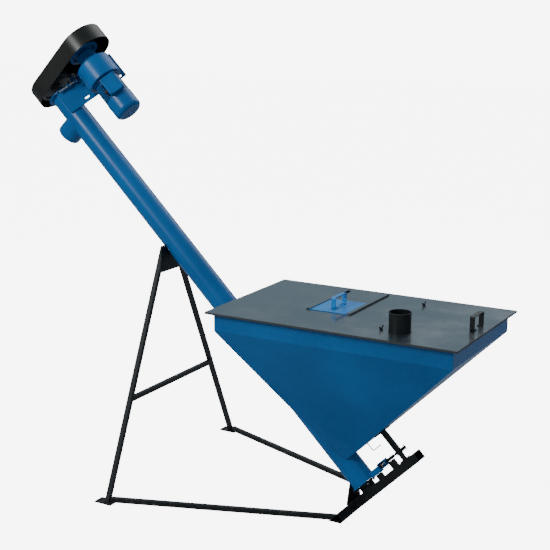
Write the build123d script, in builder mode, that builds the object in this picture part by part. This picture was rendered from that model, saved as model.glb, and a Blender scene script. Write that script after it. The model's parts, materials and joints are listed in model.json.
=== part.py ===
from build123d import *
import math
import os

os.makedirs("parts", exist_ok=True)

# Grain auger with an intake hopper: a screw in an inclined tube, fed by the hopper
# at its foot and driven by a belt from a geared motor at its head.
# Millimetres. +Z is up, +X runs from the A-frame towards the hopper, and the tube
# lies in the plane Y = 0. The origin is on the floor, midway between the two ends.

# Auger axis. A station is a distance along the axis from the point where it meets the floor.
auger_angle = 45
axis_floor_x = 881.5
tube_r = 66.5
tube_wall = 4
tube_low = 212
tube_high = 2947
weld_gap = 0.3

# Screw
shaft_r = 19
journal_r = 15
flight_r = 58
flight_pitch = 120
flight_thick = 4
flight_low = 246
flight_count = 21
shaft_low = 173
shaft_high = 3052
running_gap = 0.05

# Discharge spout
spout_station = 2767.7
spout_reach = 128

# Hopper
hopper_x0 = 47
hopper_x1 = 1347
hopper_half_y = 374
hopper_top = 1069.7
skirt_bottom = 969
side_fall = 0.4556
left_wall_angle = 50.03
sheet = 3
inlet_low = 399
inlet_high = 919
inlet_half_y = 44

# Lid
lid_x0 = 12
lid_x1 = 1382
lid_half_y = 412.5
lid_top = 1073
lid_sheet = 3
lid_edge = 10
collar_x = 1025
collar_y = -251
collar_r = 54
collar_wall = 3
collar_height = 100
window_x0 = 468
window_x1 = 650
window_y0 = -78
window_y1 = 122
rail_y0 = -100
rail_y1 = 368
rail_width = 22
rail_height = 8
shutter_x0 = 448
shutter_x1 = 670
shutter_y0 = -99
shutter_y1 = 146
wing_x = 932
wing_y = 261
handle_width = 25
handle_thick = 4
handle_length = 126

# Frame
bar = 25
bar_wall = 2
leg_x = -486
leg_foot_y = 619
leg_lean = 0.4366
leg_top = 1298
crossbar_z = 512
foot_length = 104
foot_width = 64
foot_thick = 6
base_y_at_leg = 622
base_lean = 0.3556
skid_low = 119
skid_high = 169
cross_half_y = 232
cross_top = -95
channel_half_y = 40
channel_end = 366
channel_wall = 5

# Drive at the head. The deck is a plate turned about the auger axis from the
# upright, so that it touches the tube on the side of -Y.
deck_turn = 40
deck_height = 67
deck_thick = 8
deck_t0 = -30
deck_t1 = 350
deck_low = 2802
deck_high = 2946
drive_across = 285.5
gear_r = 101
gear_low = 2793
gear_high = 2924
nose_r = 60
nose_high = 2989
motor_r = 70
motor_low = 2654
cowl_r = 78
cowl_low = 2562
cowl_high = 2669
pulley_low = 3002
pulley_high = 3046
driven_r = 100
driver_r = 90
groove_depth = 11
belt_width = 12
belt_height = 9
cover_r0 = 128.5
cover_r1 = 136
cover_across = 312
cover_low = 2975
cover_high = 3077
cover_sheet = 3

slope = math.radians(auger_angle)
along = Vector(-math.cos(slope), 0, math.sin(slope))
across = Vector(math.sin(slope), 0, math.cos(slope))
sideways = Vector(0, 1, 0)
axis_floor = Vector(axis_floor_x, 0, 0)
turn = math.radians(deck_turn)
deck_dir = across * math.cos(turn) + sideways * math.sin(turn)
deck_up = across * math.sin(turn) - sideways * math.cos(turn)


def station(u, p=0, y=0):
    # Plane square to the auger axis: local X is up and across, local Y is sideways.
    return Plane(origin=axis_floor + along * u + across * p + sideways * y, x_dir=across, z_dir=along)


def rung(p, u=0):
    # Plane facing across the axis: local X is sideways, local Y is along the axis.
    return Plane(origin=axis_floor + across * p + along * u, x_dir=sideways, z_dir=across)


def deck(height, u, t=0):
    # Plane parallel to the drive deck: local X is across the deck, local Y along the axis.
    origin = axis_floor + along * u + deck_up * height + deck_dir * t
    return Plane(origin=origin, x_dir=deck_dir, z_dir=deck_up)


def save(part, name):
    part.label = name
    export_step(part, f"parts/{name}.step")


# Auger tube with the inlet under the hopper and the outlet to the spout
with BuildPart(station(tube_low)) as auger_tube:
    Cylinder(tube_r, tube_high - tube_low, align=(Align.CENTER, Align.CENTER, Align.MIN))
    Cylinder(
        tube_r - tube_wall,
        tube_high - tube_low,
        align=(Align.CENTER, Align.CENTER, Align.MIN),
        mode=Mode.SUBTRACT,
    )
    with BuildSketch(rung(0, (inlet_low + inlet_high) / 2)):
        RectangleRounded(2 * inlet_half_y, inlet_high - inlet_low, 20)
    extrude(amount=tube_r + 5, mode=Mode.SUBTRACT)
    with BuildSketch(rung(0, spout_station)):
        Circle(tube_r - tube_wall - 2)
    extrude(amount=-(tube_r + 5), mode=Mode.SUBTRACT)
save(auger_tube.part, "auger_tube")

with BuildPart() as discharge_spout:
    with BuildSketch(rung(-spout_reach, spout_station)):
        Circle(tube_r)
    extrude(amount=spout_reach)
    with BuildSketch(rung(-spout_reach, spout_station)):
        Circle(tube_r - tube_wall)
    extrude(amount=spout_reach, mode=Mode.SUBTRACT)
    with BuildSketch(station(spout_station - 100)):
        Circle(tube_r + weld_gap)
    extrude(amount=200, mode=Mode.SUBTRACT)
save(discharge_spout.part, "discharge_spout")

# Screw: a bar with turned ends, and flights that are each one turn, as they are pressed and welded
with BuildPart(station(shaft_low)) as auger_shaft:
    Cylinder(journal_r, shaft_high - shaft_low, align=(Align.CENTER, Align.CENTER, Align.MIN))
    with BuildSketch(station(flight_low - 14)):
        Circle(shaft_r)
    extrude(amount=tube_high - 20 - flight_low)
    chamfer(auger_shaft.edges().filter_by(GeomType.CIRCLE).sort_by(Axis.Z)[-1], 1.5)
save(auger_shaft.part, "auger_shaft")

flight_mid = (flight_r + shaft_r) / 2
flight_start = station(flight_low).origin
flight_path = Edge.make_helix(flight_pitch, flight_pitch - 1, flight_mid, center=flight_start, normal=along)
flight_radial = flight_path @ 0 - flight_start
flight_profile = Plane(origin=flight_path @ 0, x_dir=flight_radial, z_dir=flight_path % 0)
with BuildPart() as one_flight:
    with BuildSketch(flight_profile):
        Rectangle(flight_r - shaft_r - 0.4, flight_thick)
    sweep(path=flight_path, is_frenet=True)
flight_copies = [
    Pos(*(along * (flight_pitch * turn_number))) * one_flight.part for turn_number in range(flight_count)
]
save(Compound(children=flight_copies), "auger_flighting")

# Foot of the tube: end plate, flange bearing
with BuildPart(station(tube_low - 8)) as tube_end_plate:
    Cylinder(tube_r + 6, 8 - weld_gap, align=(Align.CENTER, Align.CENTER, Align.MIN))
    Cylinder(journal_r + 3, 20, mode=Mode.SUBTRACT)
    with PolarLocations(53, 4, start_angle=45):
        Cylinder(4.5, 20, mode=Mode.SUBTRACT)
save(tube_end_plate.part, "tube_end_plate")


def bearing_housing(low, high, radius, flip):
    # Round flange at one end and a narrower boss at the other, bored for the bearing ring
    flange_low = high - 10 if flip else low
    with BuildPart() as housing:
        with BuildSketch(station(low)):
            Circle(radius * 0.66)
        extrude(amount=high - low)
        with BuildSketch(station(flange_low)):
            Circle(radius)
        extrude(amount=10)
        with BuildSketch(station(low)):
            Circle(26)
        extrude(amount=high - low, mode=Mode.SUBTRACT)
        with BuildSketch(station(flange_low)):
            with PolarLocations(radius - 11, 4, start_angle=45):
                Circle(4.5)
        extrude(amount=10, mode=Mode.SUBTRACT)
    return housing.part


save(bearing_housing(skid_high + weld_gap, tube_low - 8 - weld_gap, 64, True), "lower_bearing_housing")

# Head of the tube: welded flange, flange bearing
with BuildPart(station(tube_high)) as tube_top_flange:
    Cylinder(85, 8, align=(Align.CENTER, Align.CENTER, Align.MIN))
    Cylinder(journal_r + 12, 40, mode=Mode.SUBTRACT)
    with PolarLocations(49, 4, start_angle=45):
        Cylinder(4.5, 40, mode=Mode.SUBTRACT)
save(tube_top_flange.part, "tube_top_flange")
save(bearing_housing(tube_high + 8 + weld_gap, tube_high + 36, 60, False), "upper_bearing_housing")
with BuildPart() as shaft_bearings:
    for bearing_low in (skid_high + 14, tube_high + 12):
        with BuildSketch(station(bearing_low)):
            Circle(25.8)
            Circle(journal_r + running_gap, mode=Mode.SUBTRACT)
        extrude(amount=20)
save(shaft_bearings.part, "shaft_bearings")


# Pulleys and belts
def pulley(radius, bore_r, p):
    groove_mid = [pulley_low + 12, pulley_high - 12]
    with BuildPart() as wheel:
        with BuildSketch(station(pulley_low, p)):
            Circle(radius)
        extrude(amount=pulley_high - pulley_low)
        with BuildSketch(station(pulley_low + 8, p)):
            Circle(radius - groove_depth - 8)
            Circle(bore_r + 16, mode=Mode.SUBTRACT)
        extrude(amount=-8, mode=Mode.SUBTRACT)
        with BuildSketch(station(pulley_high - 8, p)):
            Circle(radius - groove_depth - 8)
            Circle(bore_r + 16, mode=Mode.SUBTRACT)
        extrude(amount=8, mode=Mode.SUBTRACT)
        with BuildSketch(station(pulley_low, p)):
            Circle(bore_r + 0.05)
        extrude(amount=pulley_high - pulley_low, mode=Mode.SUBTRACT)
        for middle in groove_mid:
            groove_plane = Plane(origin=station(middle, p).origin, x_dir=across, z_dir=Vector(0, -1, 0))
            with BuildSketch(groove_plane):
                with BuildLine():
                    Polyline(
                        (radius + 1, -9),
                        (radius - groove_depth, -6.5),
                        (radius - groove_depth, 6.5),
                        (radius + 1, 9),
                        close=True,
                    )
                make_face()
            revolve(axis=Axis(station(middle, p).origin, along), mode=Mode.SUBTRACT)
    return wheel.part


save(pulley(driven_r, journal_r, 0), "driven_pulley")
save(pulley(driver_r, 14, drive_across), "driver_pulley")


with BuildPart() as drive_belts:
    for middle in (pulley_low + 12, pulley_high - 12):
        with BuildSketch(station(middle - belt_width / 2)):
            Circle(driven_r - 1)
            with Locations((drive_across, 0)):
                Circle(driver_r - 1)
            make_hull()
        extrude(amount=belt_width)
    for middle in (pulley_low + 12, pulley_high - 12):
        with BuildSketch(station(middle - belt_width / 2)):
            Circle(driven_r - 1 - belt_height)
            with Locations((drive_across, 0)):
                Circle(driver_r - 1 - belt_height)
            make_hull()
        extrude(amount=belt_width, mode=Mode.SUBTRACT)
save(drive_belts.part, "drive_belts")

# Belt cover: a pan closed at the top, and the bar that carries it
with BuildPart() as belt_cover:
    with BuildSketch(station(cover_low)):
        Circle(cover_r0)
        with Locations((cover_across, 0)):
            Circle(cover_r1)
        make_hull()
    extrude(amount=cover_high - cover_low)
    fillet(belt_cover.faces().sort_by(Axis(axis_floor, along))[-1].edges(), 8)
    with BuildSketch(station(cover_low)):
        Circle(cover_r0 - cover_sheet)
        with Locations((cover_across, 0)):
            Circle(cover_r1 - cover_sheet)
        make_hull()
    extrude(amount=cover_high - cover_low - cover_sheet, mode=Mode.SUBTRACT)
save(belt_cover.part, "belt_cover")

carrier_across = 131
carrier_half = 127
with BuildPart() as cover_carrier:
    with BuildSketch(station(cover_low + 6, carrier_across)):
        Rectangle(40, 2 * carrier_half)
        with Locations((0, 22)):
            Circle(5.5, mode=Mode.SUBTRACT)
    extrude(amount=4)
    for side in (-1, 1):
        with BuildSketch(station(cover_low + 1, carrier_across, side * (carrier_half - 2))):
            Rectangle(40, 4)
        extrude(amount=16)
save(cover_carrier.part, "cover_carrier")

# Drive deck: a plate along the tube, with a slot, a hole, two lugs at its top edge and a
# post for the tensioning screw
drive_t = drive_across * math.cos(turn)
drive_h = drive_across * math.sin(turn)
foot_base = deck_height + deck_thick
screw_u = deck_high - 9
screw_h = foot_base + 20
foot_t = (drive_t - 72, drive_t + 72)
foot_u = (2836, 2900)
post_t = 48
deck_mid_u = (deck_low + deck_high) / 2
with BuildPart() as drive_deck:
    with BuildSketch(deck(deck_height, deck_mid_u)):
        with Locations(((deck_t0 + deck_t1) / 2, 0)):
            RectangleRounded(deck_t1 - deck_t0, deck_high - deck_low, 6)
        with Locations(((150 + deck_t1) / 2, 10)):
            RectangleRounded(deck_t1 - 150, deck_high - deck_low + 20, 6)
        for lug_t in (93, 131):
            with Locations((lug_t, deck_high - deck_mid_u + 6)):
                Rectangle(28, 28)
            with Locations((lug_t, deck_high - deck_mid_u + 20)):
                Circle(14)
        for lug_t in (93, 131):
            with Locations((lug_t, deck_high - deck_mid_u + 20)):
                Circle(5, mode=Mode.SUBTRACT)
        with Locations((97, 2827 - deck_mid_u)):
            SlotOverall(30, 12, mode=Mode.SUBTRACT)
        with Locations((317, 2819 - deck_mid_u)):
            Circle(8, mode=Mode.SUBTRACT)
        for t in foot_t:
            for u in foot_u:
                with Locations((t, u - deck_mid_u)):
                    SlotOverall(26, 11, mode=Mode.SUBTRACT)
    extrude(amount=deck_thick)
    with BuildSketch(deck(foot_base, screw_u, post_t)):
        Rectangle(10, 18)
    extrude(amount=32)
    with BuildSketch(Plane(origin=deck(screw_h, screw_u, post_t - 20).origin, x_dir=along, z_dir=deck_dir)):
        Circle(6.5)
    extrude(amount=40, mode=Mode.SUBTRACT)
save(drive_deck.part, "drive_deck")

# Gear housing: round body on a pedestal foot, with a nose around the output shaft
foot_mid_u = sum(foot_u) / 2
with BuildPart() as gear_housing:
    with BuildSketch(station(gear_low, drive_across)):
        Circle(gear_r)
    extrude(amount=gear_high - gear_low)
    drum_rims = gear_housing.edges().filter_by(GeomType.CIRCLE)
    fillet(drum_rims.sort_by(Axis(axis_floor, along))[-1], 14)
    fillet(gear_housing.edges().filter_by(GeomType.CIRCLE).sort_by(Axis(axis_floor, along))[0], 5)
    with BuildSketch(deck(foot_base + weld_gap, foot_mid_u, drive_t)):
        RectangleRounded(172, 112, 10)
    extrude(amount=9)
    with BuildSketch(deck(foot_base + weld_gap, foot_mid_u, drive_t)):
        Rectangle(104, 104)
    extrude(amount=50)
    with BuildSketch(station(gear_high - 20, drive_across)):
        Circle(nose_r + 6)
    extrude(amount=34, taper=4)
    with BuildSketch(station(gear_high, drive_across)):
        Circle(nose_r - 6)
    extrude(amount=nose_high - gear_high)
    for t in foot_t:
        for u in foot_u:
            with BuildSketch(deck(foot_base, u, t)):
                Circle(5.5)
            extrude(amount=40, mode=Mode.SUBTRACT)
    with BuildSketch(deck(foot_base + weld_gap, screw_u, drive_t - 104)):
        Rectangle(52, 18)
    extrude(amount=9)
    with BuildSketch(deck(foot_base + weld_gap, screw_u - 16, drive_t - 92)):
        Rectangle(24, 50)
    extrude(amount=9)
    with BuildSketch(deck(foot_base + weld_gap, screw_u, drive_t - 126)):
        Rectangle(8, 18)
    extrude(amount=32)
    lug_hole = deck(screw_h, screw_u, drive_t - 135).origin
    with BuildSketch(Plane(origin=lug_hole, x_dir=along, z_dir=deck_dir)):
        Circle(6.5)
    extrude(amount=16, mode=Mode.SUBTRACT)
    with BuildSketch(station(gear_low + 40, drive_across)):
        Circle(14 + running_gap)
    extrude(amount=400, mode=Mode.SUBTRACT)
    with BuildSketch(station(gear_low - 5, drive_across)):
        Circle(12 + running_gap)
    extrude(amount=35, mode=Mode.SUBTRACT)
save(gear_housing.part, "gear_housing")

with BuildPart() as output_shaft:
    with BuildSketch(station(gear_low + 42, drive_across)):
        Circle(14)
    extrude(amount=shaft_high - gear_low - 42)
    chamfer(output_shaft.edges().filter_by(GeomType.CIRCLE).sort_by(Axis.Z)[-1], 1.5)
save(output_shaft.part, "output_shaft")

with BuildPart() as foot_bolts:
    for t in foot_t:
        for u in foot_u:
            with BuildSketch(deck(foot_base + 9 + 2 * weld_gap, u, t)):
                RegularPolygon(9.5, 6)
            extrude(amount=7)
            with BuildSketch(deck(deck_height - 9, u, t)):
                Circle(5)
            extrude(amount=foot_base + 9 + 2 * weld_gap - deck_height + 9)
            with BuildSketch(deck(deck_height - weld_gap, u, t)):
                RegularPolygon(9.5, 6)
            extrude(amount=-7)
save(foot_bolts.part, "foot_bolts")

# Belt tensioning screw through the deck's post
screw_t0 = -12
with BuildPart() as tension_screw:
    with BuildSketch(Plane(origin=deck(screw_h, screw_u, screw_t0).origin, x_dir=along, z_dir=deck_dir)):
        Circle(6)
    extrude(amount=drive_t - 126 - screw_t0 + 14)
    with BuildSketch(
        Plane(origin=deck(screw_h, screw_u, drive_t - 121.5).origin, x_dir=along, z_dir=deck_dir)
    ):
        RegularPolygon(10, 6)
    extrude(amount=7)
    chamfer(tension_screw.edges().filter_by(GeomType.CIRCLE).sort_by(Axis(axis_floor, deck_dir))[0], 1)
save(tension_screw.part, "tension_screw")

with BuildPart() as tension_nuts:
    for nut_t in (post_t - 5.3 - 9, post_t + 5.3):
        nut_origin = deck(screw_h, screw_u, nut_t).origin
        with BuildSketch(Plane(origin=nut_origin, x_dir=along, z_dir=deck_dir)):
            RegularPolygon(10.5, 6)
            Circle(6 + running_gap, mode=Mode.SUBTRACT)
        extrude(amount=9)
save(tension_nuts.part, "tension_nuts")

# Motor: finned body, rotor shaft, fan and cowl
rib_base = 52
with BuildPart() as motor_body:
    with BuildSketch(station(cowl_high + weld_gap, drive_across)):
        Circle(motor_r + 6)
    extrude(amount=gear_low - 2 * weld_gap - cowl_high)
    with BuildSketch(deck(drive_h + rib_base, 2718, drive_t)):
        Rectangle(200, 80)
    extrude(amount=60, mode=Mode.SUBTRACT)
    with BuildSketch(deck(drive_h + 30, 2718, drive_t)):
        with GridLocations(9, 1, 13, 1):
            Rectangle(2.6, 84)
    extrude(amount=60)
    with BuildSketch(station(2600, drive_across)):
        Circle(300)
        Circle(motor_r + 6, mode=Mode.SUBTRACT)
    extrude(amount=300, mode=Mode.SUBTRACT)
    with BuildSketch(station(motor_low, drive_across)):
        Circle(motor_r)
    extrude(amount=20)
    with BuildSketch(station(gear_low - weld_gap, drive_across)):
        Circle(motor_r + 14)
    extrude(amount=-10)
    with BuildSketch(station(gear_low + 5, drive_across)):
        Circle(12 + running_gap)
    extrude(amount=motor_low - gear_low - 40, mode=Mode.SUBTRACT)
save(motor_body.part, "motor_body")

fan_low = cowl_low + 28
with BuildPart() as motor_shaft:
    with BuildSketch(station(fan_low - 6, drive_across)):
        Circle(12)
    extrude(amount=gear_low + 22 - fan_low)
save(motor_shaft.part, "motor_shaft")

with BuildPart() as cooling_fan:
    with BuildSketch(station(fan_low, drive_across)):
        Circle(24)
        Circle(12.05, mode=Mode.SUBTRACT)
    extrude(amount=30)
    with BuildSketch(station(fan_low + 26, drive_across)):
        Circle(66)
        Circle(20, mode=Mode.SUBTRACT)
    extrude(amount=4)
    with BuildSketch(station(fan_low + 2, drive_across)):
        with PolarLocations(44, 8):
            Rectangle(42, 3)
    extrude(amount=26)
save(cooling_fan.part, "cooling_fan")

cowl_profile_plane = Plane(origin=station(cowl_low, drive_across).origin, x_dir=across, z_dir=Vector(0, -1, 0))
with BuildPart() as fan_cowl:
    with BuildSketch(cowl_profile_plane):
        with BuildLine():
            depth = cowl_high - cowl_low
            outer_corner = 26
            outer_end = Line((0, 0), (cowl_r - outer_corner, 0))
            outer_arc = RadiusArc(outer_end @ 1, (cowl_r, outer_corner), -outer_corner)
            outer_side = Line(outer_arc @ 1, (cowl_r, depth))
            lip = Line(outer_side @ 1, (cowl_r - 2.5, depth))
            inner_side = Line(lip @ 1, (cowl_r - 2.5, outer_corner))
            inner_arc = RadiusArc(inner_side @ 1, (cowl_r - outer_corner, 2.5), outer_corner - 2.5)
            Polyline(inner_arc @ 1, (0, 2.5), (0, 0))
        make_face()
    revolve(axis=Axis(station(cowl_low, drive_across).origin, along))
    for ring_r, holes in ((16, 8), (29, 14), (42, 20)):
        with BuildSketch(station(cowl_low - 1, drive_across)):
            with PolarLocations(ring_r, holes):
                Circle(3.6)
        extrude(amount=8, mode=Mode.SUBTRACT)
save(fan_cowl.part, "fan_cowl")

# Terminal box on the motor, its lid and the gland for the supply lead
box_t = drive_t + 4
box_h = drive_h + motor_r + 3
box_mid_u = 2722
with BuildPart() as terminal_box:
    with BuildSketch(deck(box_h - 18, box_mid_u, box_t)):
        RectangleRounded(84, 104, 8)
    extrude(amount=44)
    with BuildSketch(deck(box_h + 8, box_mid_u, box_t)):
        RectangleRounded(77, 97, 5)
    extrude(amount=20, mode=Mode.SUBTRACT)
    with BuildSketch(station(2600, drive_across)):
        Circle(motor_r + 6.4)
    extrude(amount=200, mode=Mode.SUBTRACT)
save(terminal_box.part, "terminal_box")

with BuildPart() as terminal_lid:
    with BuildSketch(deck(box_h + 26 + weld_gap, box_mid_u, box_t)):
        RectangleRounded(89, 109, 9)
    extrude(amount=9)
    fillet(terminal_lid.faces().sort_by(Axis(axis_floor, deck_up))[-1].edges(), 3.5)
save(terminal_lid.part, "terminal_box_lid")

gland_origin = deck(box_h + 8, box_mid_u - 18, box_t - 42 - weld_gap).origin
with BuildPart() as cable_gland:
    with BuildSketch(Plane(origin=gland_origin, x_dir=along, z_dir=deck_dir * -1)):
        RegularPolygon(13, 6)
    extrude(amount=6)
    with BuildSketch(Plane(origin=gland_origin, x_dir=along, z_dir=deck_dir * -1)):
        Circle(9.5)
    extrude(amount=20)
    fillet(cable_gland.edges().filter_by(GeomType.CIRCLE).sort_by(Axis(axis_floor, deck_dir))[0], 3)
    with BuildSketch(Plane(origin=gland_origin, x_dir=along, z_dir=deck_dir * -1)):
        Circle(5)
    extrude(amount=20, mode=Mode.SUBTRACT)
save(cable_gland.part, "cable_gland")

# Hopper: an upright skirt over a funnel whose right wall is square to the auger
# and whose left wall follows it down. The tube closes the bottom of the funnel.
left_fall = math.tan(math.radians(left_wall_angle))
right_level = hopper_x1 - skirt_bottom
tip_x = (skirt_bottom + right_level + left_fall * hopper_x0) / (1 + left_fall)
tip_z = tip_x - right_level
tip_half_y = hopper_half_y - side_fall * (skirt_bottom - tip_z)


def hopper_solid(inset):
    # Solid bounded by the outer (inset 0) or inner faces of the funnel and skirt
    x0 = hopper_x0 + inset
    x1 = hopper_x1 - inset
    with BuildPart() as solid:
        with BuildSketch(Plane.XZ.offset(-hopper_half_y)):
            with BuildLine():
                Polyline(
                    (x0, hopper_top),
                    (x0, skirt_bottom + inset * 0.5),
                    (tip_x, tip_z + inset * 1.4),
                    (x1, skirt_bottom + inset * 0.4),
                    (x1, hopper_top),
                    close=True,
                )
            make_face()
        extrude(amount=2 * hopper_half_y)
        add(side_prism(inset), mode=Mode.INTERSECT)
    return solid.part


def side_prism(inset):
    # Solid between the front and back walls, each moved in by the inset
    half_y = hopper_half_y - inset
    low_y = tip_half_y - inset / math.cos(math.atan(side_fall))
    with BuildPart() as prism:
        with BuildSketch(Plane.YZ.offset(hopper_x0 - 5)):
            with BuildLine():
                Polyline(
                    (-half_y, hopper_top),
                    (-half_y, skirt_bottom + inset * 0.25),
                    (-low_y, tip_z),
                    (low_y, tip_z),
                    (half_y, skirt_bottom + inset * 0.25),
                    (half_y, hopper_top),
                    close=True,
                )
            make_face()
        extrude(amount=hopper_x1 - hopper_x0 + 10)
    return prism.part


with BuildPart() as shell:
    add(hopper_solid(0))
    add(hopper_solid(sheet), mode=Mode.SUBTRACT)
    with BuildSketch(station(tube_low)):
        Circle(tube_r + weld_gap)
    extrude(amount=900, mode=Mode.SUBTRACT)
    with BuildSketch(Plane.XY.offset(skirt_bottom)):
        Rectangle(4000, 4000)
    extrude(amount=weld_gap, mode=Mode.SUBTRACT)
with BuildPart() as long_panels:
    add(shell.part)
    add(side_prism(sheet), mode=Mode.SUBTRACT)
with BuildPart() as end_panels:
    add(shell.part)
    add(side_prism(sheet + weld_gap), mode=Mode.INTERSECT)
panels = long_panels.part.solids() + end_panels.part.solids()
save(Compound(children=[panel for panel in panels if panel.center().Z > skirt_bottom]), "hopper_skirt")
save(Compound(children=[panel for panel in panels if panel.center().Z < skirt_bottom]), "hopper_funnel")

# Lid with a turned-down edge, the window under the shutter and the hole under the collar
lid_mid_x = (lid_x0 + lid_x1) / 2
with BuildPart() as lid_panel:
    with BuildSketch(Plane.XY.offset(lid_top - lid_edge)):
        with Locations((lid_mid_x, 0)):
            RectangleRounded(lid_x1 - lid_x0, 2 * lid_half_y, 3)
    extrude(amount=lid_edge)
    with BuildSketch(Plane.XY.offset(lid_top - lid_edge)):
        with Locations((lid_mid_x, 0)):
            Rectangle(lid_x1 - lid_x0 - 6, 2 * lid_half_y - 6)
    extrude(amount=lid_edge - lid_sheet, mode=Mode.SUBTRACT)
    with BuildSketch(Plane.XY.offset(lid_top)):
        with Locations(((window_x0 + window_x1) / 2, (window_y0 + window_y1) / 2)):
            Rectangle(window_x1 - window_x0, window_y1 - window_y0)
        with Locations((collar_x, collar_y)):
            Circle(collar_r - collar_wall)
        with Locations((wing_x, -wing_y), (wing_x, wing_y)):
            Circle(5)
    extrude(amount=-lid_sheet, mode=Mode.SUBTRACT)
save(lid_panel.part, "lid_panel")


# Shutter guides, each a bar rebated under its inner edge
def guide(outer_x, inward):
    with BuildPart() as rail:
        with BuildSketch(Plane.XZ.offset(-rail_y1)):
            with BuildLine():
                Polyline(
                    (outer_x, lid_top + weld_gap),
                    (outer_x, lid_top + rail_height),
                    (outer_x + inward * rail_width, lid_top + rail_height),
                    (outer_x + inward * rail_width, lid_top + rail_height - 3),
                    (outer_x + inward * (rail_width - 10), lid_top + rail_height - 3),
                    (outer_x + inward * (rail_width - 10), lid_top + weld_gap),
                    close=True,
                )
            make_face()
        extrude(amount=rail_y1 - rail_y0)
    return rail.part


rail_overlap = 8
save(guide(shutter_x0 + rail_overlap - rail_width, 1), "left_guide")
save(guide(shutter_x1 - rail_overlap + rail_width, -1), "right_guide")

shutter_low = lid_top + 0.8
shutter_mid_x = (shutter_x0 + shutter_x1) / 2
shutter_mid_y = (shutter_y0 + shutter_y1) / 2
with BuildPart() as shutter_plate:
    with BuildSketch(Plane.XY.offset(shutter_low)):
        with Locations((shutter_mid_x, shutter_mid_y)):
            Rectangle(shutter_x1 - shutter_x0, shutter_y1 - shutter_y0)
    extrude(amount=3)
save(shutter_plate.part, "shutter_plate")


# Handle: a flat bar bent into a U, with feet turned inwards and two screws
def bent_handle(x, y, base, top):
    half = handle_length / 2
    with BuildPart() as strap:
        with BuildSketch(Plane.YZ.offset(x - handle_width / 2)):
            with BuildLine():
                FilletPolyline(
                    (y - half + 30, base + handle_thick / 2),
                    (y - half + handle_thick / 2, base + handle_thick / 2),
                    (y - half + handle_thick / 2, top - handle_thick / 2),
                    (y + half - handle_thick / 2, top - handle_thick / 2),
                    (y + half - handle_thick / 2, base + handle_thick / 2),
                    (y + half - 30, base + handle_thick / 2),
                    radius=6,
                )
            trace(line_width=handle_thick)
        extrude(amount=handle_width)
        for foot_y in (y - half + 20, y + half - 20):
            with BuildSketch(Plane.XY.offset(base + handle_thick)):
                with Locations((x, foot_y)):
                    Circle(5)
            extrude(amount=2.5)
    return strap.part


shutter_handle_base = shutter_low + 3 + weld_gap
save(bent_handle(shutter_mid_x, shutter_mid_y, shutter_handle_base, lid_top + 64), "shutter_handle")
save(bent_handle(1318, 0, lid_top + weld_gap, lid_top + 72), "lid_handle")

with BuildPart() as fill_collar:
    with BuildSketch(Plane.XY.offset(lid_top + weld_gap)):
        with Locations((collar_x, collar_y)):
            Circle(collar_r)
            Circle(collar_r - collar_wall, mode=Mode.SUBTRACT)
    extrude(amount=collar_height)
    with BuildSketch(Plane.XY.offset(lid_top + collar_height - 6)):
        with Locations((collar_x, collar_y)):
            Circle(collar_r + 2)
            Circle(collar_r - collar_wall, mode=Mode.SUBTRACT)
    extrude(amount=6 + weld_gap)
    fillet(fill_collar.edges().filter_by(GeomType.CIRCLE).group_by(Axis.Z)[-1], 1.2)
save(fill_collar.part, "fill_collar")


# Wing bolts through the lid
def wing_bolt(y):
    with BuildPart() as bolt:
        with BuildSketch(Plane.XY.offset(lid_top + weld_gap)):
            with Locations((wing_x, y)):
                Circle(8)
        extrude(amount=8)
        with BuildSketch(Plane.YZ.offset(wing_x - 2)):
            with BuildLine():
                wing_base = lid_top + 4
                Polyline(
                    (y - 5, wing_base),
                    (y - 26, wing_base + 12),
                    (y - 20, wing_base + 17),
                    (y, wing_base + 6),
                    (y + 20, wing_base + 17),
                    (y + 26, wing_base + 12),
                    (y + 5, wing_base),
                    close=True,
                )
            make_face()
        extrude(amount=4)
        with BuildSketch(Plane.XY.offset(lid_top + weld_gap)):
            with Locations((wing_x, y)):
                Circle(4.5)
        extrude(amount=-12)
    return bolt.part


save(wing_bolt(-wing_y), "front_wing_bolt")
save(wing_bolt(wing_y), "rear_wing_bolt")


# A-frame legs of square tube, leaning in to the auger tube
def leg(side):
    start = Vector(leg_x, side * (leg_foot_y + 20 * leg_lean), -20)
    direction = Vector(0, -side * leg_lean, 1)
    with BuildPart() as tube:
        with BuildSketch(Plane(origin=start, x_dir=(1, 0, 0), z_dir=direction)):
            Rectangle(bar, bar)
            Rectangle(bar - 2 * bar_wall, bar - 2 * bar_wall, mode=Mode.SUBTRACT)
        extrude(amount=1600)
        split(bisect_by=Plane.XY.offset(foot_thick + weld_gap), keep=Keep.TOP)
        split(bisect_by=Plane.XY.offset(leg_top), keep=Keep.BOTTOM)
        with BuildSketch(station(1500)):
            Circle(tube_r + weld_gap)
        extrude(amount=800, mode=Mode.SUBTRACT)
    return tube.part


save(leg(-1), "front_leg")
save(leg(1), "rear_leg")

with BuildPart() as leg_crossbar:
    with BuildSketch(Plane.XZ.offset(500)):
        with Locations((leg_x, crossbar_z)):
            Rectangle(bar, bar)
            Rectangle(bar - 2 * bar_wall, bar - 2 * bar_wall, mode=Mode.SUBTRACT)
    extrude(amount=-1000)
    leg_width_y = bar / 2 * math.hypot(1, leg_lean) + weld_gap
    inner_y = leg_foot_y - leg_lean * crossbar_z - leg_width_y
    for side in (-1, 1):
        inner_face = Plane(origin=(leg_x, side * inner_y, crossbar_z), z_dir=(0, -side, -leg_lean))
        split(bisect_by=inner_face, keep=Keep.TOP)
save(leg_crossbar.part, "leg_crossbar")

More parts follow.
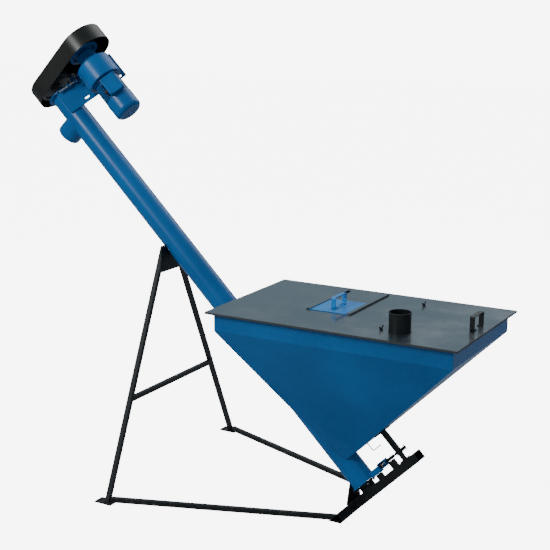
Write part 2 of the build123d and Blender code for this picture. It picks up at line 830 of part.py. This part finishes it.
# Head plate across the tops of the legs, cradling the tube
with BuildPart() as head_plate:
    plate_plane = Plane(origin=(leg_x + bar / 2 + weld_gap, 0, 0), x_dir=(0, 1, 0), z_dir=(1, 0, 0))
    with BuildSketch(plate_plane):
        with BuildLine():
            Polyline(
                (-122, 1160),
                (-102, 1245),
                (-102, 1293),
                (-62, 1310),
                (62, 1310),
                (102, 1293),
                (102, 1245),
                (122, 1160),
                close=True,
            )
        make_face()
    extrude(amount=6)
    with BuildSketch(station(1500)):
        Circle(tube_r + weld_gap)
    extrude(amount=800, mode=Mode.SUBTRACT)
save(head_plate.part, "head_plate")

with BuildPart() as foot_plates:
    for side in (-1, 1):
        with BuildSketch(Plane.XY):
            with Locations((leg_x - 10, side * (leg_foot_y + 2))):
                Rectangle(foot_length, foot_width)
                with Locations((-32, 0)):
                    Circle(6.5, mode=Mode.SUBTRACT)
        extrude(amount=foot_thick)
save(foot_plates.part, "foot_plates")


# Base tubes from the feet to the cross member
def base_tube(side):
    base_z = foot_thick + weld_gap + bar / 2
    start = Vector(leg_x + bar / 2 + 6, side * (base_y_at_leg - base_lean * (bar / 2 + 6)), base_z)
    direction = Vector(1, -side * base_lean, 0)
    with BuildPart() as tube:
        with BuildSketch(Plane(origin=start, x_dir=(0, 0, 1), z_dir=direction)):
            Rectangle(bar, bar)
            Rectangle(bar - 2 * bar_wall, bar - 2 * bar_wall, mode=Mode.SUBTRACT)
        extrude(amount=1400)
        split(bisect_by=station(skid_high + weld_gap), keep=Keep.TOP)
    return tube.part


save(base_tube(-1), "front_base_tube")
save(base_tube(1), "rear_base_tube")


# Cross member on the floor and the channel that rises from it square to the auger
def axis_point(u, p):
    point = axis_floor + along * u + across * p
    return (point.X, point.Z)


with BuildPart() as cross_member:
    with BuildSketch(Plane.XZ.offset(-cross_half_y)):
        with BuildLine():
            Polyline(
                axis_point(skid_low, -skid_low),
                axis_point(skid_high, -skid_high),
                axis_point(skid_high, cross_top),
                axis_point(skid_low, cross_top),
                close=True,
            )
        make_face()
        offset(amount=-4, mode=Mode.SUBTRACT)
    extrude(amount=2 * cross_half_y)
save(cross_member.part, "cross_member")

with BuildPart() as skid_channel:
    with BuildSketch(rung(cross_top + weld_gap, (skid_low + skid_high) / 2)):
        Rectangle(2 * channel_half_y, skid_high - skid_low)
        with Locations((0, -channel_wall)):
            Rectangle(2 * (channel_half_y - channel_wall), skid_high - skid_low, mode=Mode.SUBTRACT)
    extrude(amount=channel_end - cross_top - weld_gap)
save(skid_channel.part, "skid_channel")

with BuildPart() as end_support:
    support_x = 669
    with BuildSketch(Plane(origin=(support_x, 0, 0), x_dir=(0, 1, 0), z_dir=(1, 0, 0))):
        with BuildLine():
            Polyline((-79, 33), (-41, 160), (41, 160), (79, 33), close=True)
        make_face()
    extrude(amount=6)
    with BuildSketch(station(skid_high)):
        Circle(tube_r + 6 + weld_gap)
    extrude(amount=tube_low - skid_high, mode=Mode.SUBTRACT)
    with BuildSketch(station(tube_low)):
        Circle(tube_r + weld_gap)
    extrude(amount=400, mode=Mode.SUBTRACT)
save(end_support.part, "end_support_plate")

# Telescopic strut from the hopper's right wall to the end of the channel
strut_p = 285
strut_low = 206
clamp_u = 220
wall_station = (axis_floor_x - right_level) * math.sin(slope)
with BuildPart() as strut_sleeve:
    with BuildSketch(station(strut_low, strut_p)):
        Rectangle(bar, bar)
    extrude(amount=wall_station - 4 - strut_low)
    with BuildSketch(station(wall_station - 6 - weld_gap, strut_p)):
        Rectangle(80, 60)
    extrude(amount=6)
    with BuildSketch(rung(strut_p + bar / 2 - 1, clamp_u)):
        Rectangle(16, 16)
    extrude(amount=10)
    with BuildSketch(station(strut_low, strut_p)):
        Rectangle(bar - 4, bar - 4)
    extrude(amount=wall_station - 6 - weld_gap - strut_low, mode=Mode.SUBTRACT)
    with BuildSketch(rung(strut_p + bar / 2 - 4, clamp_u)):
        Circle(5 + running_gap)
    extrude(amount=20, mode=Mode.SUBTRACT)
save(strut_sleeve.part, "strut_sleeve")

with BuildPart() as strut_inner:
    with BuildSketch(station(skid_high + weld_gap, strut_p)):
        Rectangle(46, 46)
    extrude(amount=5)
    with BuildSketch(station(skid_high + 5, strut_p)):
        Rectangle(20, 20)
        Rectangle(16, 16, mode=Mode.SUBTRACT)
    extrude(amount=160)
save(strut_inner.part, "strut_inner_tube")

with BuildPart() as clamp_screw:
    with BuildSketch(rung(strut_p + 10.6, clamp_u)):
        Circle(5)
    extrude(amount=40)
    with BuildSketch(rung(strut_p + 26, clamp_u)):
        RegularPolygon(11, 6)
    extrude(amount=10)
    with BuildSketch(station(clamp_u - 15, strut_p + 45)):
        Circle(3.5)
    extrude(amount=30)
save(clamp_screw.part, "strut_clamp_screw")

# Spring tie between the foot of the tube and the strut: arm, box, rod, spring and posts
tie_u = 221
with BuildPart() as tie_arm:
    with BuildSketch(rung(40, (196 + 231) / 2)):
        Rectangle(36, 35)
    extrude(amount=94)
    with BuildSketch(station(skid_high)):
        Circle(tube_r + 6 + weld_gap)
    extrude(amount=tube_low - skid_high, mode=Mode.SUBTRACT)
    with BuildSketch(station(skid_high)):
        Circle(tube_r + weld_gap)
    extrude(amount=200, mode=Mode.SUBTRACT)
save(tie_arm.part, "tie_arm")

with BuildPart() as tie_box:
    with BuildSketch(rung(134 + weld_gap, tie_u)):
        with Locations((2, 0)):
            Rectangle(36, 38)
    extrude(amount=54)
    with BuildSketch(rung(134 + weld_gap + 4, tie_u)):
        with Locations((-4, 0)):
            Rectangle(40, 28)
    extrude(amount=46, mode=Mode.SUBTRACT)
    with BuildSketch(rung(170, tie_u)):
        Circle(6.5)
    extrude(amount=40, mode=Mode.SUBTRACT)
save(tie_box.part, "tie_box")

with BuildPart() as tie_rod:
    with BuildSketch(rung(140, tie_u)):
        RegularPolygon(10, 6)
    extrude(amount=7)
    with BuildSketch(rung(140, tie_u)):
        Circle(5)
    extrude(amount=strut_p - bar / 2 - 140 - weld_gap)
    with BuildSketch(rung(200, tie_u)):
        Circle(9)
    extrude(amount=34)
save(tie_rod.part, "tie_rod")

with BuildPart() as tie_nuts:
    for nut_p in (189, 236, 262):
        with BuildSketch(rung(nut_p, tie_u)):
            RegularPolygon(9.5, 6)
            Circle(5 + running_gap, mode=Mode.SUBTRACT)
        extrude(amount=8)
save(tie_nuts.part, "tie_nuts")

spring_start = rung(149, tie_u).origin
spring_path = Edge.make_helix(6, 30, 8.5, center=spring_start, normal=across)
with BuildPart() as tie_spring:
    with BuildSketch(Plane(origin=spring_path @ 0, z_dir=spring_path % 0)):
        Circle(1.4)
    sweep(path=spring_path, is_frenet=True)
save(tie_spring.part, "tie_spring")

with BuildPart() as tie_posts:
    with BuildSketch(station(skid_high + weld_gap)):
        with Locations((104, 0)):
            Rectangle(32, 24)
    extrude(amount=196 - skid_high - 2 * weld_gap)
    with BuildSketch(station(skid_high + weld_gap)):
        with Locations((214, 0)):
            Rectangle(34, 24)
    extrude(amount=tie_u - 10 - skid_high - 2 * weld_gap)
save(tie_posts.part, "tie_posts")

# Bent rod hook under the hopper's right wall
with BuildPart() as wall_hook:
    with BuildLine() as hook_line:
        FilletPolyline(
            station(wall_station - weld_gap, 165).origin,
            station(306, 165).origin,
            station(306, 224).origin,
            radius=6,
        )
    with BuildSketch(Plane(origin=hook_line.line @ 0, z_dir=hook_line.line % 0)):
        Circle(3)
    sweep(path=hook_line.line)
save(wall_hook.part, "wall_hook")

# Bolts of the two flange bearings, one group
with BuildPart() as bearing_bolts:
    for plate_low, bolt_ring, head_low, length in (
        (tube_low - 8, 53, tube_low - 8 - weld_gap - 10 - 6.3, -1),
        (tube_high, 49, tube_high + 18.6, 1),
    ):
        with BuildSketch(station(head_low)):
            with PolarLocations(bolt_ring, 4, start_angle=45):
                RegularPolygon(7, 6)
        extrude(amount=6)
        with BuildSketch(station(head_low if length < 0 else plate_low - 4)):
            with PolarLocations(bolt_ring, 4, start_angle=45):
                Circle(4)
        extrude(amount=24)
save(bearing_bolts.part, "bearing_bolts")
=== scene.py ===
import json
import math

import bmesh
import bpy
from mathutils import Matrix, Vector


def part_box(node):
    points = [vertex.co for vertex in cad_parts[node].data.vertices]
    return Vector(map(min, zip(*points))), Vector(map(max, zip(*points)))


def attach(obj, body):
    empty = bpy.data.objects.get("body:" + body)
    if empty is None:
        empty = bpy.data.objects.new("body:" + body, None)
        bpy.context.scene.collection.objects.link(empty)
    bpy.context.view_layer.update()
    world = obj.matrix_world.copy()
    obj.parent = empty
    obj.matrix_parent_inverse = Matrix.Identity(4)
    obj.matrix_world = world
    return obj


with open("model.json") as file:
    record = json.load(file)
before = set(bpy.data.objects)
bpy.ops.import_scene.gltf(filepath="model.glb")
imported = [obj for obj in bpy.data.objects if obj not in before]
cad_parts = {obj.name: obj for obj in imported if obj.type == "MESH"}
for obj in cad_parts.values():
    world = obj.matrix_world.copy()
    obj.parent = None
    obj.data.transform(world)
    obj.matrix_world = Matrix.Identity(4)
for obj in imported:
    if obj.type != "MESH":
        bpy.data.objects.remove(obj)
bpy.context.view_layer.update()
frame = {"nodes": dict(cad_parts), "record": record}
nodes = frame["nodes"]
print("frame loaded")

# The auger axis starts where it meets the floor and climbs at 45 degrees.
slope = math.radians(45)
along = Vector((-math.cos(slope), 0, math.sin(slope)))
across = Vector((math.sin(slope), 0, math.cos(slope)))
sideways = Vector((0, 1, 0))
axisFloor = Vector((0.8815, 0, 0))
deckTurn = math.radians(40)
deckDir = across * math.cos(deckTurn) + sideways * math.sin(deckTurn)
deckUp = across * math.sin(deckTurn) - sideways * math.cos(deckTurn)


def station(u):
    return axisFloor + along * u


def deckPoint(t, height, u):
    return station(u) + deckDir * t + deckUp * height


class Value:
    # A shader socket that Python arithmetic can use
    def __init__(self, graph, socket):
        self.graph = graph
        self.socket = socket

    def math(self, operation, *others):
        return self.graph.add("ShaderNodeMath", {"operation": operation}, [self, *others])

    def __add__(self, other):
        return self.math("ADD", other)

    def __radd__(self, other):
        return self.math("ADD", other)

    def __sub__(self, other):
        return self.math("SUBTRACT", other)

    def __rsub__(self, other):
        return self.graph.add("ShaderNodeMath", {"operation": "SUBTRACT"}, [other, self])

    def __mul__(self, other):
        return self.math("MULTIPLY", other)

    def __rmul__(self, other):
        return self.math("MULTIPLY", other)

    def ramp(self, low, high, start=0.0, end=1.0):
        values = {"Value": self, "From Min": low, "From Max": high, "To Min": start, "To Max": end}
        return self.graph.add("ShaderNodeMapRange", {"interpolation_type": "SMOOTHSTEP"}, values)


class Graph:
    def __init__(self, name):
        self.material = bpy.data.materials.new(name)
        self.material.use_nodes = True
        self.tree = self.material.node_tree
        self.shader = self.tree.nodes["Principled BSDF"]
        self.place = self.add("ShaderNodeTexCoord", {}, {}, "Object")

    def feed(self, socket, value):
        if isinstance(value, Value):
            self.tree.links.new(value.socket, socket)
        else:
            socket.default_value = value

    def add(self, kind, settings, values, output=0):
        node = self.tree.nodes.new(kind)
        for key, value in settings.items():
            setattr(node, key, value)
        pairs = enumerate(values) if isinstance(values, list) else values.items()
        for key, value in pairs:
            self.feed(node.inputs[key], value)
        return Value(self, node.outputs[output])

    def noise(self, scale, detail=3.0, rough=0.5, place=None):
        values = {"Vector": place or self.place, "Scale": scale, "Detail": detail, "Roughness": rough}
        return self.add("ShaderNodeTexNoise", {}, values, "Fac")

    def stretched(self, scale):
        return self.add("ShaderNodeMapping", {}, {"Vector": self.place, "Scale": scale})

    def mix(self, factor, first, second):
        node = self.tree.nodes.new("ShaderNodeMix")
        node.data_type = "RGBA"
        colours = [socket for socket in node.inputs if socket.type == "RGBA"]
        self.feed(node.inputs[0], factor)
        for socket, colour in zip(colours, (first, second)):
            self.feed(socket, colour if isinstance(colour, Value) else (*colour, 1.0))
        return Value(self, [socket for socket in node.outputs if socket.type == "RGBA"][0])

    def rounded(self, radius):
        return self.add("ShaderNodeBevel", {"samples": 6}, {"Radius": radius})

    def edges(self, radius):
        rounded = self.rounded(radius)
        flat = self.add("ShaderNodeNewGeometry", {}, {}, "Normal")
        dot = self.add("ShaderNodeVectorMath", {"operation": "DOT_PRODUCT"}, [rounded, flat], "Value")
        return (1.0 - dot).ramp(0.05, 0.30)

    def upward(self):
        normal = self.add("ShaderNodeNewGeometry", {}, {}, "Normal")
        up = self.add("ShaderNodeSeparateXYZ", {}, {"Vector": normal}, "Z")
        return up.ramp(0.25, 0.95)

    def height(self):
        return self.add("ShaderNodeSeparateXYZ", {}, {"Vector": self.place}, "Z")

    def bump(self, height, strength, distance, normal):
        values = {"Height": height, "Strength": strength, "Distance": distance, "Normal": normal}
        return self.add("ShaderNodeBump", {}, values)

    def finish(self, values):
        for name, value in values.items():
            self.feed(self.shader.inputs[name], value)
        return self.material


# Dust, splashes, scratches and rust that all the finishes share
ageing = {
    "dustColour": (0.30, 0.28, 0.24),
    "dustRough": 0.22,
    "splashColour": (0.20, 0.17, 0.13),
    "splashHigh": 0.16,
    "splash": 0.35,
    "scratch": 0.10,
    "scratchStretch": (1.0, 14.0, 3.0),
    "rustColour": (0.16, 0.075, 0.035),
    "rustRough": 0.2,
    "bumpHigh": 0.0004,
}


def paintMaterial(name, look):
    graph = Graph(name)
    broad = graph.noise(look["broad"], 4, 0.55)
    fine = graph.noise(look["speckle"], 2, 0.6)
    colour = graph.mix(broad.ramp(0.3, 0.72), look["deep"], look["light"])
    colour = graph.mix(fine.ramp(0.62, 0.8, 0.0, 0.10), colour, look["speck"])
    # Painted shade: faces that do not point up are darkened towards a near-black painted shade colour
    if look["sideShade"]:
        side = 1.0 - graph.upward()
        colour = graph.mix(side * look["sideShade"], colour, look["sideShadeColour"])
    dust = graph.upward() * graph.noise(5.0, 5, 0.6).ramp(0.35, 0.8)
    colour = graph.mix(dust * look["dust"], colour, ageing["dustColour"])
    splash = graph.height().ramp(ageing["splashHigh"], 0.0) * graph.noise(38.0, 4, 0.7).ramp(0.5, 0.75)
    colour = graph.mix(splash * ageing["splash"], colour, ageing["splashColour"])
    edge = graph.edges(look["edge"]) * graph.noise(55.0, 4, 0.7).ramp(0.42, 0.62)
    colour = graph.mix(edge * look["wear"], colour, look["worn"])
    stretched = graph.stretched(ageing["scratchStretch"])
    scratch = graph.noise(30.0, 3, 0.6, stretched).ramp(0.70, 0.76) * ageing["scratch"]
    colour = graph.mix(scratch, colour, look["worn"])
    rough = broad.ramp(0.3, 0.7, look["rough"] - 0.05, look["rough"] + 0.06)
    rough = rough + dust * ageing["dustRough"] + scratch
    coat = look["coat"]
    # The same painted shade also takes coat off those sideways faces and makes them rougher
    if look["sideShade"]:
        rough = rough + side * look["sideRough"]
        coat = (1.0 - side * look["sideShade"]) * coat
    peel = graph.noise(look["peel"], 1, 0.5)
    normal = graph.bump(peel, look["peelStrength"], ageing["bumpHigh"], graph.rounded(look["round"]))
    values = {"Base Color": colour, "Roughness": rough, "Normal": normal, "Coat Weight": coat}
    values["Coat Roughness"] = look["coatRough"]
    values["Specular IOR Level"] = look["shine"]
    return graph.finish(values)


def metalMaterial(name, look):
    graph = Graph(name)
    blotch = graph.noise(look["blotch"], 4, 0.6)
    colour = graph.mix(blotch.ramp(0.3, 0.7), look["deep"], look["light"])
    rust = graph.noise(26.0, 6, 0.7).ramp(0.60, 0.74)
    colour = graph.mix(rust * look["rust"], colour, ageing["rustColour"])
    grain = graph.noise(240.0, 2, 0.5)
    rough = blotch.ramp(0.25, 0.75, look["rough"] - 0.08, look["rough"] + 0.10)
    rough = rough + rust * ageing["rustRough"]
    metallic = 1.0 - rust * look["rust"]
    normal = graph.bump(grain, 0.25, 0.0003, graph.rounded(0.0006))
    return graph.finish({"Base Color": colour, "Roughness": rough, "Metallic": metallic, "Normal": normal})


def softMaterial(name, look):
    graph = Graph(name)
    blotch = graph.noise(40.0, 4, 0.6)
    colour = graph.mix(blotch.ramp(0.3, 0.7), look["deep"], look["light"])
    grain = graph.noise(look["grain"], 2, 0.6)
    normal = graph.bump(grain, 0.4, ageing["bumpHigh"], graph.rounded(0.0008))
    rough = blotch.ramp(0.3, 0.7, look["rough"] - 0.06, look["rough"] + 0.06)
    return graph.finish({"Base Color": colour, "Roughness": rough, "Normal": normal})


bluePaint = {
    "deep": (0.0, 0.092, 0.275),
    "light": (0.0, 0.122, 0.355),
    "speck": (0.0, 0.15, 0.38),
    "worn": (0.03, 0.18, 0.36),
    "broad": 2.2,
    "speckle": 420.0,
    "dust": 0.03,
    "edge": 0.0022,
    "wear": 0.35,
    "rough": 0.36,
    "peel": 330.0,
    "peelStrength": 0.012,
    "round": 0.0012,
    "coat": 0.12,
    "coatRough": 0.18,
    "shine": 0.20,
    "sideShade": 0.0,
}
blackPaint = {
    "deep": (0.0055, 0.0065, 0.007),
    "light": (0.011, 0.0125, 0.013),
    "speck": (0.04, 0.04, 0.04),
    "worn": (0.12, 0.115, 0.11),
    "broad": 3.0,
    "speckle": 500.0,
    "dust": 0.03,
    "edge": 0.002,
    "wear": 0.30,
    "rough": 0.42,
    "peel": 380.0,
    "peelStrength": 0.05,
    "round": 0.0012,
    "coat": 0.06,
    "coatRough": 0.25,
    "shine": 0.24,
    "sideShade": 0.0,
}
lidPaint = {
    **blackPaint,
    "deep": (0.011, 0.024, 0.033),
    "light": (0.018, 0.035, 0.046),
    "dust": 0.02,
    "wear": 0.08,
    "rough": 0.20,
    "peelStrength": 0.02,
    "round": 0.0004,
    "coat": 0.9,
    "coatRough": 0.07,
    "shine": 0.9,
    # painted shade for the lid's sideways edges, near black
    "sideShadeColour": (0.004, 0.004, 0.004),
    "sideShade": 0.92,
    "sideRough": 0.35,
}
# Painted reflection: a lighter, paler copy of the blue paint stands in for the shutter's glossy reflection
# of the bright surroundings
shutterReflectionPaint = {
    **bluePaint,
    "deep": (0.015, 0.190, 0.500),
    "light": (0.025, 0.235, 0.590),
    "rough": 0.28,
    "coat": 0.3,
}
coverPaint = {**blackPaint, "deep": (0.012, 0.012, 0.010), "light": (0.018, 0.018, 0.015), "rough": 0.34}
gearPaint = {**bluePaint, "broad": 9.0, "speckle": 300.0, "peel": 210.0, "peelStrength": 0.03, "rough": 0.40}
motorPaint = {**gearPaint, "deep": (0.0, 0.050, 0.150), "light": (0.0, 0.072, 0.205)}
blueWeld = {**bluePaint, "wear": 0.0, "rough": 0.44}
blackWeld = {**blackPaint, "wear": 0.0}
zincMetal = {
    "deep": (0.42, 0.43, 0.44),
    "light": (0.60, 0.61, 0.62),
    "blotch": 60.0,
    "rust": 0.15,
    "rough": 0.34,
}
steelMetal = {
    "deep": (0.30, 0.30, 0.30),
    "light": (0.48, 0.48, 0.47),
    "blotch": 30.0,
    "rust": 0.45,
    "rough": 0.36,
}
castMetal = {
    "deep": (0.10, 0.10, 0.105),
    "light": (0.19, 0.19, 0.19),
    "blotch": 90.0,
    "rust": 0.3,
    "rough": 0.52,
}
rubberLook = {"deep": (0.010, 0.010, 0.010), "light": (0.022, 0.021, 0.020), "grain": 700.0, "rough": 0.72}
plasticLook = {"deep": (0.014, 0.014, 0.015), "light": (0.022, 0.022, 0.023), "grain": 420.0, "rough": 0.48}

materials = {
    "blue_paint": paintMaterial("blue paint", bluePaint),
    "black_paint": paintMaterial("black paint", blackPaint),
    "zinc_steel": metalMaterial("zinc plate", zincMetal),
    "bare_steel": metalMaterial("bare steel", steelMetal),
    "cast_iron": metalMaterial("cast iron", castMetal),
    "rubber": softMaterial("belt rubber", rubberLook),
    "black_plastic": softMaterial("black plastic", plasticLook),
}
lidMaterial = paintMaterial("lid paint", lidPaint)
coverMaterial = paintMaterial("cover paint", coverPaint)
gearMaterial = paintMaterial("cast blue paint", gearPaint)
motorMaterial = paintMaterial("deep blue paint", motorPaint)
shutterReflectionMaterial = paintMaterial("shutter paint with painted reflection", shutterReflectionPaint)
special = {
    "lid_panel": lidMaterial,
    "left_guide": lidMaterial,
    "right_guide": lidMaterial,
    "shutter_plate": shutterReflectionMaterial,
    "shutter_handle": shutterReflectionMaterial,
    "belt_cover": coverMaterial,
    "gear_housing": gearMaterial,
    "motor_body": motorMaterial,
    "terminal_box": gearMaterial,
    "terminal_box_lid": gearMaterial,
}
slotOf = {part["node"]: part["material_slot"] for part in frame["record"]["subparts"]}
for nodeName, node in nodes.items():
    chosen = special.get(nodeName, materials[slotOf[nodeName]])
    if not node.data.materials:
        node.data.materials.append(chosen)
    for materialSlot in node.material_slots:
        materialSlot.material = chosen
print("materials done")


def deselect():
    bpy.ops.object.select_all(action="DESELECT")


def settle(obj, name, material, body):
    obj.name = name
    deselect()
    obj.select_set(True)
    bpy.context.view_layer.objects.active = obj
    for modifier in list(obj.modifiers):
        bpy.ops.object.modifier_apply(modifier=modifier.name)
    bpy.ops.object.transform_apply(location=True, rotation=True, scale=True)
    bpy.ops.object.mode_set(mode="EDIT")
    bpy.ops.mesh.select_all(action="SELECT")
    bpy.ops.mesh.remove_doubles(threshold=0.00001)
    bpy.ops.mesh.normals_make_consistent(inside=False)
    bpy.ops.object.mode_set(mode="OBJECT")
    bpy.ops.object.shade_smooth_by_angle(angle=math.radians(40))
    obj.data.materials.clear()
    obj.data.materials.append(material)
    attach(obj, body)
    return obj


def turnTo(direction):
    return direction.to_track_quat("Z", "Y").to_euler()


blueWeldMaterial = paintMaterial("weld under blue paint", blueWeld)
blackWeldMaterial = paintMaterial("weld under black paint", blackWeld)

welds = {
    "segments": 144,
    "collarRadius": 0.0545,
    "collarThick": 0.0022,
    "tubeRadius": 0.0668,
    "tubeEnd": 0.2120,
    "tubeEndThick": 0.0022,
    "tubeFlange": 2.9462,
    "tubeFlangeThick": 0.0026,
    "cornerThick": 0.0022,
    "cornerInset": 0.0012,
    "topGap": 0.001,
    "skirtLow": 0.969,
    "funnelThick": 0.0020,
    "funnelTip": (0.6395, 0.0521, 0.262),
    "headRun": 0.60,  # share of the way to the tip that the bead runs
    "tailRun": 0.86,
}


def roundBead(name, centre, axis, radius, thick, material, body):
    deselect()
    bpy.ops.mesh.primitive_torus_add(
        major_radius=radius,
        minor_radius=thick,
        major_segments=welds["segments"],
        minor_segments=10,
        location=centre,
        rotation=turnTo(axis),
    )
    return settle(bpy.context.object, name, material, body)


# A ball pulled out both ways from its middle ring
def straightBead(name, start, end, thick):
    deselect()
    bpy.ops.mesh.primitive_uv_sphere_add(segments=12, ring_count=8, radius=thick, location=(start + end) / 2)
    bead = bpy.context.object
    bead.rotation_euler = turnTo(end - start)
    pull = (end - start).normalized() * ((end - start).length / 2 - thick)
    bpy.ops.object.mode_set(mode="EDIT")
    bpy.ops.mesh.select_mode(type="VERT")
    for side in (1, -1):
        bpy.ops.mesh.select_all(action="DESELECT")
        mesh = bmesh.from_edit_mesh(bead.data)
        for vertex in mesh.verts:
            vertex.select_set(vertex.co.z * side > thick / 20)
        bmesh.update_edit_mesh(bead.data)
        bpy.ops.transform.translate(value=pull * side)
    bpy.ops.object.mode_set(mode="OBJECT")
    return settle(bead, name, blueWeldMaterial, "frame")


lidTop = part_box("lid_panel")[1][2]
collarLow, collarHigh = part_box("fill_collar")
collarSeat = Vector(((collarLow[0] + collarHigh[0]) / 2, (collarLow[1] + collarHigh[1]) / 2, lidTop))
roundBead(
    "collar_weld",
    collarSeat,
    Vector((0, 0, 1)),
    welds["collarRadius"],
    welds["collarThick"],
    blackWeldMaterial,
    "lid",
)
for label, weldEnd in (("tube_end_weld", "tubeEnd"), ("tube_flange_weld", "tubeFlange")):
    roundBead(
        label,
        station(welds[weldEnd]),
        along,
        welds["tubeRadius"],
        welds[weldEnd + "Thick"],
        blueWeldMaterial,
        "frame",
    )

hopperLow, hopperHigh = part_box("hopper_skirt")
headSide = (-1, hopperLow[0], welds["headRun"])
tailSide = (1, hopperHigh[0], welds["tailRun"])
for xSide, cornerX, _ in (headSide, tailSide):
    for ySide in (-1, 1):
        insetX = cornerX - xSide * welds["cornerInset"]
        insetY = ySide * (hopperHigh[1] - welds["cornerInset"])
        low = Vector((insetX, insetY, welds["skirtLow"]))
        top = Vector((insetX, insetY, hopperHigh[2] - welds["topGap"]))
        straightBead(f"hopper_corner_weld_{xSide + 1}_{ySide + 1}", low, top, welds["cornerThick"])
tipX, tipY, tipZ = welds["funnelTip"]
for ySide in (-1, 1):
    tip = Vector((tipX, ySide * tipY, tipZ))
    for xSide, cornerX, runShare in (headSide, tailSide):
        fold = Vector((cornerX, ySide * hopperHigh[1], welds["skirtLow"]))
        end = fold + (tip - fold) * runShare
        straightBead(f"funnel_weld_{xSide + 1}_{ySide + 1}", fold, end, welds["funnelThick"])
print("welds done")

# Screws of the terminal box lid, with a round socket in each
boxScrew = {
    "radius": 0.0046,
    "high": 0.0034,
    "socket": 0.0021,
    "deep": 0.0018,
    "bevel": 0.0007,
    "middle": 2.722,
    "across": 0.2227,
    "top": 0.29185,
    "stepAcross": 0.0355,
    "stepAlong": 0.0455,
}


def headScrew(name, seat, axis, look, material, body):
    deselect()
    bpy.ops.mesh.primitive_cylinder_add(
        vertices=24,
        radius=look["radius"],
        depth=look["high"],
        location=seat + axis * look["high"] / 2,
        rotation=turnTo(axis),
    )
    screw = bpy.context.object
    bpy.ops.object.mode_set(mode="EDIT")
    bpy.ops.mesh.select_mode(type="FACE")
    bpy.ops.mesh.select_all(action="DESELECT")
    mesh = bmesh.from_edit_mesh(screw.data)
    for face in mesh.faces:
        face.select_set(face.normal.z > 0.9)
    bmesh.update_edit_mesh(screw.data)
    bpy.ops.mesh.inset(thickness=look["radius"] - look["socket"])
    bpy.ops.mesh.extrude_region_move(TRANSFORM_OT_translate={"value": -axis * look["deep"]})
    bpy.ops.object.mode_set(mode="OBJECT")
    bevel = screw.modifiers.new("edge", "BEVEL")
    bevel.width = look["bevel"]
    bevel.segments = 2
    bevel.limit_method = "ANGLE"
    return settle(screw, name, material, body)


for alongSide in (-1, 1):
    for acrossSide in (-1, 1):
        seat = deckPoint(
            boxScrew["across"] + acrossSide * boxScrew["stepAcross"],
            boxScrew["top"],
            boxScrew["middle"] + alongSide * boxScrew["stepAlong"],
        )
        label = f"box_screw_{alongSide + 1}_{acrossSide + 1}"
        headScrew(label, seat, deckUp, boxScrew, gearMaterial, "frame")
print("screws done")

# The floor and the backdrop are bright to the eye and dimmer as a light on the machine
studio = {
    "floorDeep": (0.40, 0.41, 0.42),
    "floorLight": (0.44, 0.45, 0.46),
    "floorRough": 0.75,
    "floorGlow": 7.0,
    "floorSize": 60,
    "floorDrop": 0.0005,
    "backdropGlow": 7.4,
    "skyColour": (0.62, 0.84, 1.0, 1.0),
    "skyGlow": 0.36,
}
white = (1.0, 1.0, 1.0, 1.0)
floorGraph = Graph("pale floor")
floorTone = floorGraph.noise(0.8, 3, 0.5)
floorColour = floorGraph.mix(floorTone.ramp(0.3, 0.7), studio["floorDeep"], studio["floorLight"])
eyeRay = floorGraph.add("ShaderNodeLightPath", {}, {}, "Is Camera Ray")
floorMaterial = floorGraph.finish({
    "Base Color": floorColour,
    "Roughness": studio["floorRough"],
    "Emission Color": white,
    "Emission Strength": eyeRay * studio["floorGlow"],
})
bpy.ops.mesh.primitive_plane_add(size=studio["floorSize"], location=(0, 0, -studio["floorDrop"]))
floor = bpy.context.object
floor.name = "floor"
floor.data.materials.append(floorMaterial)

world = bpy.context.scene.world or bpy.data.worlds.new("studio")
bpy.context.scene.world = world
world.use_nodes = True
worldTree = world.node_tree
sky = worldTree.nodes["Background"]
sky.inputs["Color"].default_value = studio["skyColour"]
sky.inputs["Strength"].default_value = studio["skyGlow"]
backdrop = worldTree.nodes.new("ShaderNodeBackground")
backdrop.inputs["Color"].default_value = white
backdrop.inputs["Strength"].default_value = studio["backdropGlow"]
lightPath = worldTree.nodes.new("ShaderNodeLightPath")
choice = worldTree.nodes.new("ShaderNodeMixShader")
worldTree.links.new(lightPath.outputs["Is Camera Ray"], choice.inputs[0])
worldTree.links.new(sky.outputs[0], choice.inputs[1])
worldTree.links.new(backdrop.outputs[0], choice.inputs[2])
worldTree.links.new(choice.outputs[0], worldTree.nodes["World Output"].inputs["Surface"])

lights = {
    "key": {"place": (-2.5, -6.0, 4.8), "target": (0.2, 0, 1.0), "size": 2.6, "power": 330},
    "fill": {"place": (5.5, -2.0, 3.5), "target": (0.2, 0, 1.0), "size": 4.0, "power": 20},
    "top": {"place": (-0.6, 3.0, 5.8), "target": (0.3, 0, 1.0), "size": 4.0, "power": 120},
    "back": {"place": (0.8, 6.0, 5.2), "target": (0.2, 0, 1.0), "size": 3.0, "power": 110},
}


def aim(direction):
    return direction.to_track_quat("-Z", "Y").to_euler()


for lightName, look in lights.items():
    deselect()
    bpy.ops.object.light_add(type="AREA", location=look["place"])
    light = bpy.context.object
    light.name = lightName
    light.data.shape = "DISK"
    light.data.size = look["size"]
    light.data.energy = look["power"]
    light.rotation_euler = aim(Vector(look["target"]) - Vector(look["place"]))

view = {
    "place": (3.2276, -5.2456, 2.6401),
    "direction": (-0.4876, 0.8421, -0.2307),
    "sensor": 36,
    "lens": 77.21,
}
cameraData = bpy.data.cameras.new("camera")
cameraData.sensor_width = view["sensor"]
cameraData.lens = view["lens"]
camera = bpy.data.objects.new("camera", cameraData)
bpy.context.collection.objects.link(camera)
camera.location = view["place"]
camera.rotation_euler = aim(Vector(view["direction"]))
bpy.context.scene.camera = camera
print("stage done")
